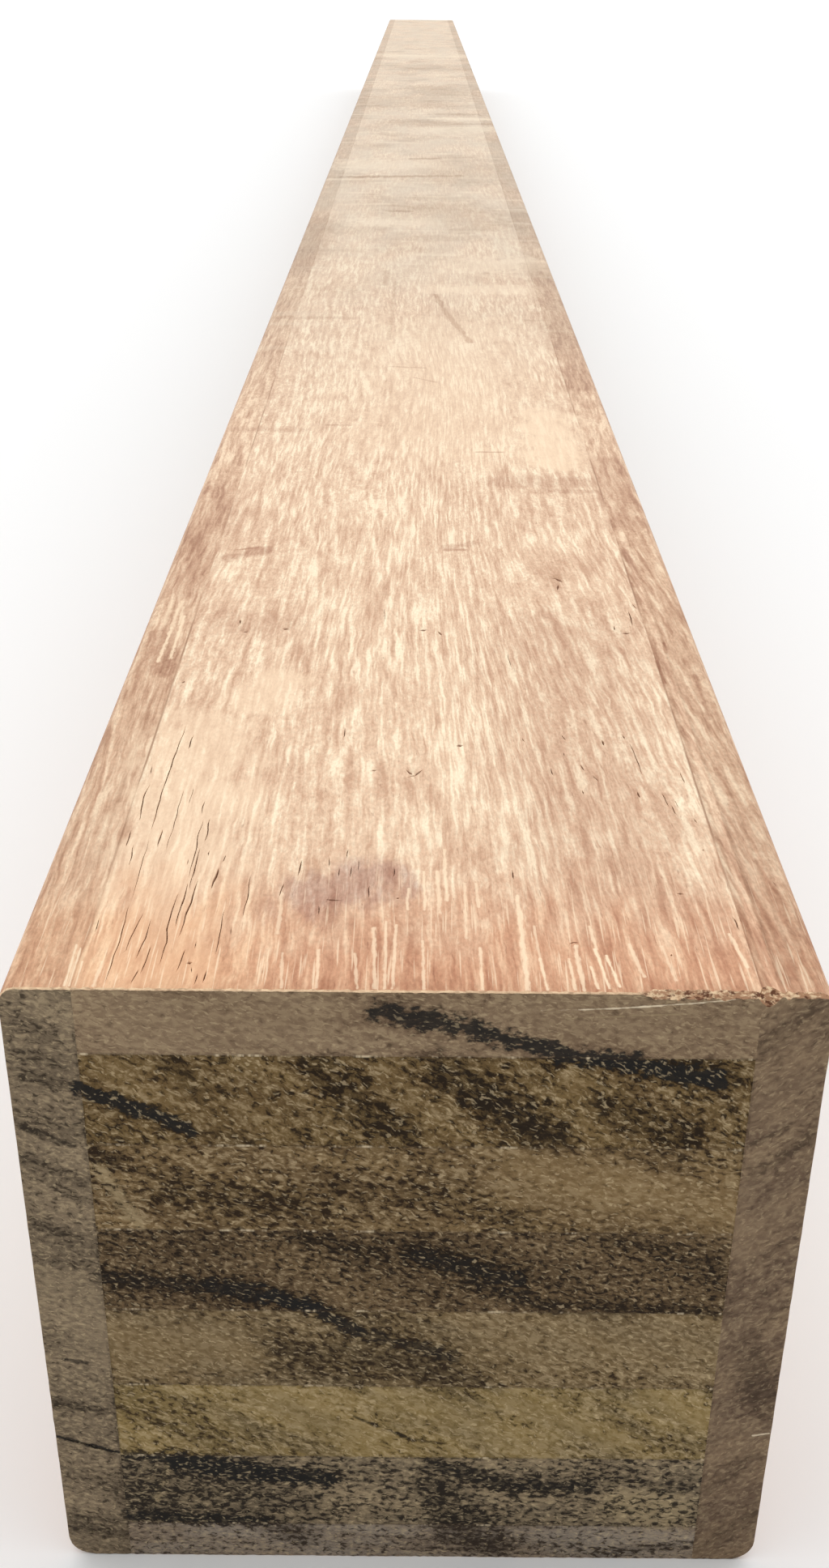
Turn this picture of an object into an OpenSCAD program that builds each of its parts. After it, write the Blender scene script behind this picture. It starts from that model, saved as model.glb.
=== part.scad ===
// Glued laminated hardwood post, lying on its bottom face.
// A core of flat lamellae, glued face to face, stands between two upright face boards.
// The finished post was planed all round, so the bottom and top lamellae are thinner than
// the full ones between them, and its four long edges were eased, the lower two more than the upper.
// Both ends are sawn square. The post runs along Y, and the origin is under its middle.

/* [Post] */
// Length of the post, along the grain
post_length = 3600; // [900:100:6000]

/* [Core lamellae] */
// Width of the lamellae, from one face board to the other
lamella_w = 111; // [60:1:240]
// Thickness of each full lamella
lamella_t = 18.8; // [12:0.1:45]
// Number of full lamellae
full_lamellae = 6; // [1:1:12]
// Thickness that the planer left on the bottom lamella
bottom_lamella_t = 9.4; // [6:0.1:45]
// Thickness that the planer left on the top lamella
top_lamella_t = 12.8; // [6:0.1:45]

/* [Face boards] */
// Thickness of each upright face board
face_board_t = 12; // [8:0.1:30]
// Radius of the eased upper edges
top_edge_radius = 3; // [1:0.5:6]
// Radius of the eased lower edges
bottom_edge_radius = 5; // [1:0.5:6]

/* [Hidden] */
// Roundness of the eased edges
$fn = 64;
// How far a cut runs out into the air
overrun = 2;
// Height of the post, and of its face boards
post_h = bottom_lamella_t + full_lamellae * lamella_t + top_lamella_t;
// Timber colours, as the sawn end shows them
warm_brown = [0.46, 0.37, 0.28];
grey_brown = [0.40, 0.35, 0.28];
olive_brown = [0.47, 0.41, 0.27];
dark_brown = [0.27, 0.22, 0.18];
// Colours of the full lamellae from the bottom up, repeated on a taller post
full_lamella_colours = [dark_brown, olive_brown, grey_brown, dark_brown, grey_brown, olive_brown];

// Height of the underside of full lamella i, counted from 1 at the bottom
function full_lamella_z(i) = bottom_lamella_t + (i - 1) * lamella_t;

// Runs a section, drawn as it shows on the sawn end, along the whole post
module along_post() {
    translate([0, post_length / 2, 0])
        rotate([90, 0, 0])
            linear_extrude(post_length)
                children();
}

// A flat board of the core, with its underside at height z
module lamella(z, thickness) {
    along_post()
        translate([-lamella_w / 2, z])
            square([lamella_w, thickness]);
}

// What the moulding cutter takes off a lower right corner that stands at the origin
module eased_corner(radius) {
    difference() {
        translate([-radius, -overrun])
            square(radius + overrun);
        translate([-radius, radius])
            circle(radius);
    }
}

// A board that covers the right side of the core, with its two outer edges eased
module face_board() {
    along_post()
        translate([lamella_w / 2, 0])
            difference() {
                square([face_board_t, post_h]);
                translate([face_board_t, 0])
                    eased_corner(bottom_edge_radius);
                translate([face_board_t, post_h])
                    mirror([0, 1])
                        eased_corner(top_edge_radius);
            }
}

module left_face_board() {
    color(warm_brown)
        mirror([1, 0, 0])
            face_board();
}

module right_face_board() {
    color(warm_brown)
        face_board();
}

module bottom_lamella() {
    color(grey_brown)
        lamella(0, bottom_lamella_t);
}

module core_lamella(i) {
    color(full_lamella_colours[(i - 1) % len(full_lamella_colours)])
        lamella(full_lamella_z(i), lamella_t);
}

module top_lamella() {
    color(warm_brown)
        lamella(post_h - top_lamella_t, top_lamella_t);
}

left_face_board();
right_face_board();
bottom_lamella();
for (i = [1:full_lamellae])
    core_lamella(i);
top_lamella();
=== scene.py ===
import math

import bmesh
import bpy
from mathutils import Matrix, Vector, noise
from mathutils.geometry import delaunay_2d_cdt


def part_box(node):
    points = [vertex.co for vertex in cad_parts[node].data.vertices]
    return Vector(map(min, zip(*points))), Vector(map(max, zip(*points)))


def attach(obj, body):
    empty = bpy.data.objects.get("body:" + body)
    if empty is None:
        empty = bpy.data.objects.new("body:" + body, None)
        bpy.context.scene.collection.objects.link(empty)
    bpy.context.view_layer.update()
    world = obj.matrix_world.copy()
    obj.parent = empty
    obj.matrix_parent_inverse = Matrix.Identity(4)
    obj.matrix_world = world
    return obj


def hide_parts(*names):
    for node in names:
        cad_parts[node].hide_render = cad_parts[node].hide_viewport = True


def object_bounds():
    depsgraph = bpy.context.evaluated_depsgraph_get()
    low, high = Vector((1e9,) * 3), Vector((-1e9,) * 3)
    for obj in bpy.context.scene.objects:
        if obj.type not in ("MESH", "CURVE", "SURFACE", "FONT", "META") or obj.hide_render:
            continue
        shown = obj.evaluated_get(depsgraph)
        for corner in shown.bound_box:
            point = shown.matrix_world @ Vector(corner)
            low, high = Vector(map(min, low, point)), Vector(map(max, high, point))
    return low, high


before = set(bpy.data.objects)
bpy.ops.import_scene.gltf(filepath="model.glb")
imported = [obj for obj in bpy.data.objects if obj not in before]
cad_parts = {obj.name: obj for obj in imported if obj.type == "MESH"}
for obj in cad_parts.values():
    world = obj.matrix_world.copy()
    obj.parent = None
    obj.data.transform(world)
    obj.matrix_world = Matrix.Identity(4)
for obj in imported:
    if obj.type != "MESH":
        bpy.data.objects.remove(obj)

cad_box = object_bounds()

# Studio: a plain pale floor under soft light that comes from above and from beyond the far end, so that
# the upper face is bright and the sawn near end lies in shade. The camera looks down along the post,
# from close in front of that end.
PHOTO_HEIGHT = 1936  # pixels
FOCAL_LENGTH = 2007.6  # pixels
SENSOR = 36.0  # mm, along the photograph's height
CAMERA_PLACE = (-0.0007, -0.2154, 0.2842)  # m, from the middle of the near end's lower edge
CAMERA_PITCH = math.radians(27.41)
CAMERA_ROLL = math.radians(0.485)
NEAREST_SEEN = 0.01  # m, from the camera
FLOOR_REACH = 40.0  # m
FLOOR_TONE = (0.9, 0.91, 0.915, 1)
FLOOR_ROUGHNESS = 0.8
LIGHT_FROM = (0, 0.8, 0.6)  # the middle of the bright part of the sky
DIM_UP_TO, BRIGHT_FROM = -0.3, 0.6  # how far towards that middle, from -1 to 1
DIM_SKY = 0.3
BRIGHT_SKY = 1.5
SKY_TONE = (1, 1, 1, 1)
BACKDROP = 1.0  # how bright the sky itself looks

front_y = cad_box[0][1]

camera = bpy.data.objects.new("camera", bpy.data.cameras.new("camera"))
camera.data.sensor_width = SENSOR
camera.data.lens = FOCAL_LENGTH * SENSOR / PHOTO_HEIGHT
camera.data.clip_start = NEAREST_SEEN
camera.matrix_world = (
    Matrix.Translation(Vector((0, front_y, 0)) + Vector(CAMERA_PLACE))
    @ Matrix.Rotation(math.pi / 2 - CAMERA_PITCH, 4, "X")
    @ Matrix.Rotation(CAMERA_ROLL, 4, "Z")
)
bpy.context.collection.objects.link(camera)
bpy.context.scene.camera = camera
bpy.context.scene.view_settings.view_transform = "Standard"


def put(tree, kind, inputs, output=0, **settings):
    """Adds a shader node, sets it up, and sets or links its inputs. Returns one of its outputs."""
    node = tree.nodes.new("ShaderNode" + kind)
    for name, value in settings.items():
        setattr(node, name, value)
    for key, value in inputs.items():
        if isinstance(value, bpy.types.NodeSocket):
            tree.links.new(value, node.inputs[key])
        else:
            node.inputs[key].default_value = value
    return node.outputs[output]


world = bpy.data.worlds.new("studio")
world.use_nodes = True
sky = world.node_tree
toward = put(sky, "TexCoord", {}, output="Generated")
facing = put(sky, "VectorMath", {0: toward, 1: LIGHT_FROM}, output="Value", operation="DOT_PRODUCT")
glow = {"From Min": DIM_UP_TO, "From Max": BRIGHT_FROM, "To Min": DIM_SKY, "To Max": BRIGHT_SKY}
brightness = put(sky, "MapRange", {"Value": facing, **glow}, interpolation_type="SMOOTHSTEP")
seen = put(sky, "LightPath", {}, output="Is Camera Ray")
brightness = put(sky, "Mix", {0: seen, 2: brightness, 3: BACKDROP}, data_type="FLOAT")
sky.links.new(brightness, sky.nodes["Background"].inputs["Strength"])
sky.nodes["Background"].inputs["Color"].default_value = SKY_TONE
bpy.context.scene.world = world

floor_mesh = bpy.data.meshes.new("floor")
floor_mesh.from_pydata(
    [(x * FLOOR_REACH, y * FLOOR_REACH, 0) for x, y in ((-1, -1), (1, -1), (1, 1), (-1, 1))],
    [],
    [(0, 1, 2, 3)],
)
floor = bpy.data.objects.new("floor", floor_mesh)
floor_paint = bpy.data.materials.new("pale_floor")
floor_paint.use_nodes = True
floor_shader = floor_paint.node_tree.nodes["Principled BSDF"]
floor_shader.inputs["Base Color"].default_value = FLOOR_TONE
floor_shader.inputs["Roughness"].default_value = FLOOR_ROUGHNESS
floor_mesh.materials.append(floor_paint)
bpy.context.collection.objects.link(floor)


# Core lamellae: flat hardwood boards glued face to face, the lowest one planed thin with the underside.
# Their sawn ends show end grain with dark pores between pale torn ridges, in slanting bands, and black
# streaks where the wood is stained. Each board is from another tree, so its tones are its own.
MM = 0.001
NEAR_END_STEP = 0.45 * MM  # between the points of the sawn end that the camera sees
FAR_END_STEP = 0.9 * MM
EDGE_STEP = 0.4 * MM  # along the edges of a sawn end
FUZZ = 0.18 * MM  # how far the saw frays an open edge
FUZZ_STEP = 1.1 * MM  # along that edge, from longer to shorter fibres
FUZZ_SPREAD = 0.7
LIP_REACH = 0.5 * MM  # how far a frayed edge reaches along the board
SAW_PITCH = 2.6 * MM
SAW_CENTRE = (0.24, -0.16)  # m, of the saw blade's arcs, across and up
SAW_DEPTH, PORE_DEPTH, WAVE_DEPTH = 0.03 * MM, 0.16 * MM, 0.1 * MM  # of a sawn end's relief
PORE_SIZE, WAVE_SIZE = (1.7, 1.1), (14, 9)  # mm, across and up
NEAR_SEED, FAR_SEED = 0, 50  # of the two ends' reliefs
CORNER_TURN = 0.5  # the sine of the turn from which a point of a section is a corner
FILL_INSIDE = 1  # the triangulation's way to fill a border and nothing beyond it
SAME_POINT = 1e-7  # m, up to which two points are one
SHARP_ANGLE = math.radians(50)  # between two faces, from which their edge shows

back_y = cad_box[1][1]


def tone(red, green, blue):
    """A colour from its 0 to 255 screen values."""
    parts = [c / 255 for c in (red, green, blue)]
    return (*(c / 12.92 if c <= 0.04045 else ((c + 0.055) / 1.055) ** 2.4 for c in parts), 1)


def steps_between(low, high, step):
    """Even places from low up to high, without high itself."""
    count = max(1, round(abs(high - low) / step))
    return [low + (high - low) * k / count for k in range(count)]


def flat_section(low, high, under, over):
    """A flat board's section, anticlockwise as the near end shows it. A point names the side after it."""
    section = [(x, low[2], under) for x in steps_between(low[0], high[0], EDGE_STEP)]
    section += [(high[0], z, "glued") for z in steps_between(low[2], high[2], EDGE_STEP)]
    section += [(x, high[2], over) for x in steps_between(high[0], low[0], EDGE_STEP)]
    section += [(low[0], z, "glued") for z in steps_between(high[2], low[2], EDGE_STEP)]
    return section


def inset(section, depth_at):
    """The section with each side moved inwards by its own depth."""
    moved = []
    for k, (x, z, side) in enumerate(section):
        came_x, came_z, came_side = section[k - 1]
        goes_x, goes_z, _ = section[(k + 1) % len(section)]
        before = Vector((came_z - z, x - came_x)).normalized()
        after = Vector((z - goes_z, goes_x - x)).normalized()
        depths = depth_at(x, z, came_side), depth_at(x, z, side)
        turn = before.x * after.y - before.y * after.x
        if abs(turn) > CORNER_TURN:
            step_x = (depths[0] * after.y - depths[1] * before.y) / turn
            step_z = (depths[1] * before.x - depths[0] * after.x) / turn
        else:
            step_x, step_z = (before + after).normalized() * (sum(depths) / 2)
        moved.append((x + step_x, z + step_z, side))
    return moved


def sawn_depth(x, z, seed):
    """How far a sawn end lies behind its longest fibres: arcs of the saw, torn pores and a slow wave."""
    reach = math.hypot(x - SAW_CENTRE[0], z - SAW_CENTRE[1])
    saw = 0.5 + 0.5 * math.sin(2 * math.pi * reach / SAW_PITCH)
    pores = abs(noise.noise(Vector((x / PORE_SIZE[0], z / PORE_SIZE[1], seed * MM)) / MM))
    wave = 0.5 + 0.5 * noise.noise(Vector((x / WAVE_SIZE[0], z / WAVE_SIZE[1], seed * MM)) / MM)
    return SAW_DEPTH * saw + PORE_DEPTH * pores + WAVE_DEPTH * wave


def near_y(x, z, sunk=0.0):
    """Where the near end's surface lies: one saw cut runs over all the boards."""
    return front_y + sawn_depth(x, z, NEAR_SEED) + sunk


def far_y(x, z, sunk=0.0):
    """The same for the far end."""
    return back_y - sawn_depth(x, z, FAR_SEED) - sunk


def edge_fuzz(place, seed):
    """The uneven length of the fibres along an edge, about 1."""
    return 1 + FUZZ_SPREAD * noise.noise(Vector((place / FUZZ_STEP, seed, 0)))


def frayed(x, z, side, seed):
    """How far an edge of a sawn end is frayed back. Glued sides hold together."""
    return 0.0 if side == "glued" else FUZZ * edge_fuzz(x + z, seed)


class Board:
    """A board built from sections along it. Each face has its part's name and its place on it unrolled."""

    def __init__(self, section):
        self.section = section
        self.points = []
        self.faces = []
        self.parts = []  # the name of each face's part
        self.flats = []  # the corners of each face on its part unrolled
        self.reach = [0.0]  # how far round the section each of its points is
        for k, (x, z, _) in enumerate(section):
            after = section[(k + 1) % len(section)]
            self.reach.append(self.reach[-1] + math.hypot(after[0] - x, after[1] - z))

    def ring(self, section, y_at):
        """Adds the points of one section. Returns the number of the first."""
        first = len(self.points)
        self.points += [(x, y_at(x, z), z) for x, z, _ in section]
        return first

    def wall(self, first, second, part_of):
        """Joins two rings by a face for each side whose part_of isn't None."""
        count = len(self.section)
        for k, (_, _, side) in enumerate(self.section):
            part = part_of(side)
            if part is None:
                continue
            after = (k + 1) % count
            corners = (first + k, first + after, second + after, second + k)
            places = (self.reach[k], self.reach[k + 1], self.reach[k + 1], self.reach[k])
            self.faces.append(corners)
            self.parts.append(part)
            self.flats.append([(place, self.points[c][1]) for place, c in zip(places, corners)])

    def net(self, border, inner, checks, lift, part):
        """Fills a border, of flat points and their numbers, with triangles through inner points and checks.
        lift gives the place of a new flat point and its depth."""
        points = [Vector(p) for p, _ in border] + [Vector(p) for p in inner]
        depths = [0.0] * len(points)
        edges = [(k, (k + 1) % len(border)) for k in range(len(border))]
        for lips, bed in checks:
            for row in (*([(p, 0.0) for p in lip] for lip in lips), bed):
                first = len(points)
                points += [p for p, _ in row]
                depths += [d for _, d in row]
                edges += [(first + k, first + k + 1) for k in range(len(row) - 1)]
        found, _, triangles, origins, _, _ = delaunay_2d_cdt(points, edges, [], FILL_INSIDE, SAME_POINT)
        numbers = []
        for point, group in zip(found, origins):
            on_border = [k for k in group if k < len(border)]
            if on_border:
                numbers.append(border[on_border[0]][1])
            else:
                numbers.append(len(self.points))
                self.points.append(lift(point, max((depths[k] for k in group), default=0.0)))
        for triangle in triangles:
            self.faces.append(tuple(numbers[k] for k in triangle))
            self.parts.append(part)
            self.flats.append([tuple(found[k]) for k in triangle])

    def sawn_end(self, first, section, step, y_at, checks, part):
        """Closes an end with a fine net that carries the relief of the saw."""
        xs, zs = [p[0] for p in section], [p[1] for p in section]
        border = [((x, z), first + k) for k, (x, z, _) in enumerate(section)]
        inner = [
            (x, z)
            for x in steps_between(min(xs) + step / 2, max(xs), step)
            for z in steps_between(min(zs) + step / 2, max(zs), step)
        ]
        self.net(border, inner, checks, lambda p, d: (p.x, y_at(p.x, p.y, d), p.y), part)

    def finish(self, name, materials, regions):
        """Makes the object: a material and a region of the bake's map for each part."""
        mesh = bpy.data.meshes.new(name)
        mesh.from_pydata(self.points, [], self.faces)
        used = list(dict.fromkeys(materials.values()))
        for material in used:
            mesh.materials.append(material)
        mesh.polygons.foreach_set("material_index", [used.index(materials[p]) for p in self.parts])
        corners = {part: [] for part in materials}
        for part, flat in zip(self.parts, self.flats):
            corners[part] += flat
        spans = {
            part: [(min(c), max(c)) for c in zip(*places)] for part, places in corners.items() if places
        }
        uv = []
        for part, flat in zip(self.parts, self.flats):
            left, low, right, high = regions[part]
            (u_min, u_max), (v_min, v_max) = spans[part]
            for u, v in flat:
                uv.append(left + (right - left) * (u - u_min) / (u_max - u_min))
                uv.append(low + (high - low) * (v - v_min) / (v_max - v_min))
        mesh.uv_layers.new(name="OFBake").data.foreach_set("uv", uv)
        shape = bmesh.new()
        shape.from_mesh(mesh)
        bmesh.ops.delete(shape, geom=[v for v in shape.verts if not v.link_faces], context="VERTS")
        bmesh.ops.recalc_face_normals(shape, faces=shape.faces)
        shape.to_mesh(mesh)
        shape.free()
        mesh.shade_smooth()
        mesh.set_sharp_from_angle(angle=SHARP_ANGLE)
        board = bpy.data.objects.new(name, mesh)
        bpy.context.collection.objects.link(board)
        return board


def calc(tree, operation, a, b=0.0, c=0.0, clamp=False):
    """One step of arithmetic on up to three values."""
    return put(tree, "Math", {0: a, 1: b, 2: c}, operation=operation, use_clamp=clamp)


def fade(tree, value, start, end, low=0.0, high=1.0):
    """From low at start to high at end, with soft shoulders."""
    ramp = {"Value": value, "From Min": start, "From Max": end, "To Min": low, "To Max": high}
    return put(tree, "MapRange", ramp, interpolation_type="SMOOTHSTEP")


def blend(tree, factor, first, second, mode="MIX"):
    """The first colour with the second laid over it, or multiplied into it, by a factor."""
    return put(tree, "Mix", {0: factor, 6: first, 7: second}, output=2, data_type="RGBA", blend_type=mode)


def millimetres(tree):
    """The place on the post, in millimetres."""
    place = put(tree, "TexCoord", {}, output="Object")
    return put(tree, "VectorMath", {0: place, "Scale": 1 / MM}, operation="SCALE")


def moved_by(tree, place, offset, operation="ADD"):
    """A place with an offset added to it, taken from it or multiplied into it."""
    return put(tree, "VectorMath", {0: place, 1: offset}, operation=operation)


def noise_at(tree, place, size, detail=2.0, roughness=0.5, output="Fac"):
    """Noise in patches of the given size in millimetres."""
    scaled = moved_by(tree, place, [1 / s for s in size], "MULTIPLY")
    pattern = {"Vector": scaled, "Scale": 1.0, "Detail": detail, "Roughness": roughness}
    return put(tree, "TexNoise", pattern, output=output)


def start_group(name, inputs, outputs):
    """A new node group, with its sockets. Returns the group, its given inputs and its results."""
    group = bpy.data.node_groups.new(name, "ShaderNodeTree")
    for label, kind, value in inputs:
        socket = group.interface.new_socket(label, in_out="INPUT", socket_type="NodeSocket" + kind)
        socket.default_value = value
    for label, kind in outputs:
        group.interface.new_socket(label, in_out="OUTPUT", socket_type="NodeSocket" + kind)
    given = group.nodes.new("NodeGroupInput").outputs
    result = group.nodes.new("NodeGroupOutput").inputs
    return group, given, result


def place_group(tree, group, inputs):
    """Places a node group and sets or links its inputs. Returns its outputs."""
    return put(tree, "Group", inputs, node_tree=group).node.outputs


def lead_out(tree, result, **values):
    """Leads values to the outputs of a node group."""
    for label, value in values.items():
        tree.links.new(value, result[label])


MARK_TO, MARK_FULL = 0.8, 0.2  # widths from the middle of a mark


def streak_group():
    """A ragged mark along the straight line between two places on the post."""
    tree, given, result = start_group(
        "streak",
        [
            ("From", "Vector", (0, 0, 0)),
            ("To", "Vector", (1, 0, 0)),
            ("Width", "Float", 1.0),
            ("Rough", "Float", 0.0),
        ],
        [("Mark", "Float")],
    )
    start = moved_by(tree, millimetres(tree), given["From"], "SUBTRACT")
    run = moved_by(tree, given["To"], given["From"], "SUBTRACT")
    ahead = put(tree, "VectorMath", {0: start, 1: run}, output="Value", operation="DOT_PRODUCT")
    whole = put(tree, "VectorMath", {0: run, 1: run}, output="Value", operation="DOT_PRODUCT")
    share = calc(tree, "DIVIDE", ahead, whole, clamp=True)
    foot = put(tree, "VectorMath", {0: run, "Scale": share}, operation="SCALE")
    off = moved_by(tree, start, foot, "SUBTRACT")
    away = put(tree, "VectorMath", {0: off}, output="Value", operation="LENGTH")
    away = calc(tree, "DIVIDE", away, given["Width"])
    away = calc(tree, "ADD", away, given["Rough"])
    lead_out(tree, result, Mark=fade(tree, away, MARK_TO, MARK_FULL))
    return tree


BANDS_APART, PORES_APART = 500.0, 90.0  # mm in the noise, from one board to the next
BANDS_DARKEN, STAIN_DARKENS, CLEAR_LIGHTENS = 0.9, 0.62, 0.35  # of a darkness from 0 to 1
PORES_STRAY = 1.4  # mm


def end_grain_group():
    """Wood sawn across its grain: clouds of another tone, darker and lighter bands, dark torn pores, pale
    ridges and specks of pale fibre ends. The darker the wood, the more of it is pores."""
    tree, given, result = start_group(
        "end grain",
        [
            ("Slope", "Float", 0.0),
            ("Seed", "Float", 0.0),
            ("Darkness", "Float", 0.3),
            ("Stain", "Float", 0.0),
            ("Clear", "Float", 0.0),
        ],
        [(label, "Float") for label in ("Clouds", "Shade", "Pores", "Ridges", "Specks", "Height")],
    )
    here = millimetres(tree)
    turned = put(tree, "VectorRotate", {"Vector": here, "Angle": given["Slope"]}, rotation_type="Y_AXIS")
    away = put(tree, "CombineXYZ", {"Y": calc(tree, "MULTIPLY", given["Seed"], BANDS_APART)})
    shifted = moved_by(tree, turned, away)
    bands = noise_at(tree, shifted, (40, 600, 7), detail=3.0, roughness=0.55)
    clouds = noise_at(tree, shifted, (24, 600, 6), detail=4.0, roughness=0.6)
    dark = calc(tree, "MULTIPLY_ADD", calc(tree, "SUBTRACT", bands, 0.5), BANDS_DARKEN, given["Darkness"])
    dark = calc(tree, "MULTIPLY_ADD", given["Stain"], STAIN_DARKENS, dark)
    dark = calc(tree, "MULTIPLY_ADD", given["Clear"], -CLEAR_LIGHTENS, dark, clamp=True)
    away = put(tree, "CombineXYZ", {"Y": calc(tree, "MULTIPLY", given["Seed"], PORES_APART)})
    place = moved_by(tree, here, away)
    turned = moved_by(tree, turned, away)
    sway = noise_at(tree, place, (1.8, 40, 1.8), detail=1.0, output="Color")
    sway = moved_by(tree, sway, (0.5, 0.5, 0.5), "SUBTRACT")
    sway = put(tree, "VectorMath", {0: sway, "Scale": PORES_STRAY}, operation="SCALE")
    swayed = moved_by(tree, turned, sway)
    grit = noise_at(tree, swayed, (1.6, 40, 0.85), detail=4.0, roughness=0.62)
    level = calc(tree, "MULTIPLY_ADD", grit, 1.8, -0.4)
    level = calc(tree, "MULTIPLY_ADD", calc(tree, "SUBTRACT", 0.4, dark), 0.4, level)
    pores = fade(tree, level, 0.52, 0.26)
    ridges = fade(tree, level, 0.52, 0.85)
    specks = fade(tree, noise_at(tree, swayed, (1.15, 40, 0.5), detail=2.0), 0.57, 0.69)
    lead_out(tree, result, Pores=pores, Ridges=ridges, Specks=specks)
    lead_out(tree, result, Clouds=fade(tree, clouds, 0.36, 0.64))
    lead_out(tree, result, Shade=fade(tree, dark, 0.1, 1.0, 1.1, 0.6))
    lead_out(tree, result, Height=calc(tree, "MULTIPLY_ADD", specks, 0.4, grit))
    return tree


GLUE_TO, GLUE_FULL = 0.5, 0.1  # mm to either side of a glue line
GLINT_TO, GLINT_FULL = 0.34, 0.12  # the same for the painted glints along it


def glue_line_group():
    """The thin edge of a glue line at two heights of the post, and painted glints along it in places."""
    tree, given, result = start_group(
        "glue line",
        [("Low", "Float", 0.0), ("High", "Float", 1.0)],
        [("Line", "Float"), ("Glint", "Float")],
    )
    place = millimetres(tree)
    height = put(tree, "SeparateXYZ", {0: place}, output="Z")
    low = calc(tree, "ABSOLUTE", calc(tree, "SUBTRACT", height, given["Low"]))
    high = calc(tree, "ABSOLUTE", calc(tree, "SUBTRACT", height, given["High"]))
    away = calc(tree, "MINIMUM", low, high)
    spread = noise_at(tree, place, (3, 3, 300), detail=4.0, roughness=0.7)
    patchy = fade(tree, spread, 0.4, 0.6, 0.25, 1.0)
    broken = fade(tree, noise_at(tree, place, (6, 6, 300), detail=4.0, roughness=0.75), 0.53, 0.62)
    lead_out(tree, result, Line=calc(tree, "MULTIPLY", fade(tree, away, GLUE_TO, GLUE_FULL), patchy))
    lead_out(tree, result, Glint=calc(tree, "MULTIPLY", fade(tree, away, GLINT_TO, GLINT_FULL), broken))
    return tree


streak = streak_group()
end_grain = end_grain_group()
glue_line = glue_line_group()

# Dark stains on the near end, in mm: across and up from, across and up to, width; then strength
END_STAINS = [
    (-6, 131.2, 10, 127.6, 4.6, 0.95),
    (10, 127.3, 24, 123.2, 3.8, 1.0),
    (24, 122.6, 36, 121.4, 4.2, 1.0),
    (35, 121.2, 50, 117.8, 4.8, 1.0),
    (-64, 117.7, -56, 115.2, 2.4, 0.6),
    (-56, 115.2, -45, 110.3, 3.8, 1.0),
    (-45, 110.3, -38, 106.4, 3.4, 0.95),
    (-38, 106.4, -29, 104.4, 2.2, 0.6),
    (-41, 120.6, -36, 114.7, 3.5, 0.4),
    (-16, 119.6, -10, 111, 6.5, 0.6),
    (-10, 111, -2, 106, 6.5, 0.65),
    (4, 119.6, 12, 113.7, 9.0, 0.68),
    (12, 113.7, 22, 106, 9.0, 0.7),
    (31, 112.7, 45, 106.8, 6.5, 0.58),
    (-55, 101, -51, 100, 3.0, 0.65),
    (-42, 94, -18, 89, 8.0, 0.45),
    (-16, 97, -8, 94, 5.0, 0.5),
    (-2, 94, 18, 87, 6.5, 0.55),
    (14, 100, 24, 96, 5.0, 0.4),
    (0, 79.3, 18, 73.4, 5.0, 0.8),
    (-22, 83.7, -6, 79.3, 3.0, 0.45),
    (-55, 73.4, -36, 71.4, 4.2, 0.75),
    (-36, 71.4, -26, 69.5, 5.0, 0.85),
    (-26, 69.5, -18, 66.5, 4.2, 1.0),
    (-18, 66.5, -10, 60.6, 3.8, 0.9),
    (-10, 60.6, 7, 54.7, 4.2, 0.8),
    (10, 73.4, 26, 66.5, 4.0, 0.7),
    (26, 67.5, 55, 66, 3.0, 0.5),
    (37, 82.7, 54, 77.3, 7.0, 0.3),
    (-3, 50, 3, 49.5, 4.5, 0.5),
    (-24, 55, 12, 51, 12.0, 0.4),
    (-52, 42, -32, 33, 9.0, 0.35),
    (-11, 39, 0, 33, 0.9, 0.8),
    (0, 33, 6, 32, 0.9, 0.7),
    (-54, 28.4, -45, 27, 2.6, 0.85),
    (-45, 26.7, -28, 23.4, 6.0, 1.0),
    (-28, 23.4, -16, 21.8, 5.0, 1.0),
    (-52, 18, -22, 15, 14.0, 0.45),
    (-55, 11.4, -29, 10, 3.5, 0.85),
    (4, 26, 20, 20.3, 4.8, 0.75),
    (20, 20.6, 34, 20.4, 4.5, 0.8),
    (34, 23, 52, 20, 3.0, 0.6),
    (4, 19, 12, 9.4, 9.0, 0.65),
    (-27, 9, -22, 5.4, 6.0, 0.55),
    (8, 9, 16, 4.5, 8.0, 0.65),
    (37, 1.5, 55, 4.5, 2.4, 0.6),
    (-67, 33, -56, 29, 1.0, 0.9),
    (-55.6, 62, -55.6, 8, 0.7, 0.6),
    (-55.6, 128, -55.6, 62, 0.6, 0.4),
    (55.6, 118, 55.6, 66, 0.6, 0.4),
    (55.6, 48, 55.6, 6, 0.6, 0.4),
    (-67, 42, -58, 40, 2.0, 0.6),
    (-66, 100, -56, 95, 3.0, 0.5),
    (-67, 78, -58, 76, 2.5, 0.5),
    (-66, 8, -57, 6, 3.0, 0.5),
    (60, 57.7, 66, 42, 7.0, 0.6),
    (56, 54.7, 66, 67.5, 2.4, 0.4),
    (57, 75, 66, 84, 2.0, 0.45),
    (57, 97, 67, 107, 2.0, 0.5),
    (56, 104, 62, 108, 1.4, 0.55),
    (57, 20, 65, 30, 3.0, 0.4),
    (58, 3, 66, 12, 4.0, 0.4),
    (57, 125, 64, 133, 3.0, 0.35),
    (-66, 107, -58, 103, 1.6, 0.7),
    (-62, 94, -57, 91, 2.0, 0.6),
    (-66, 86, -60, 83, 2.0, 0.5),
    (-64, 53.3, -60, 52.4, 0.9, 0.8),
    (-66, 11, -57, 9.5, 1.4, 0.6),
    (-66, 131, -60, 126, 4.0, 0.45),
    (-66, 122, -58, 120, 3.0, 0.4),
]
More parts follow.
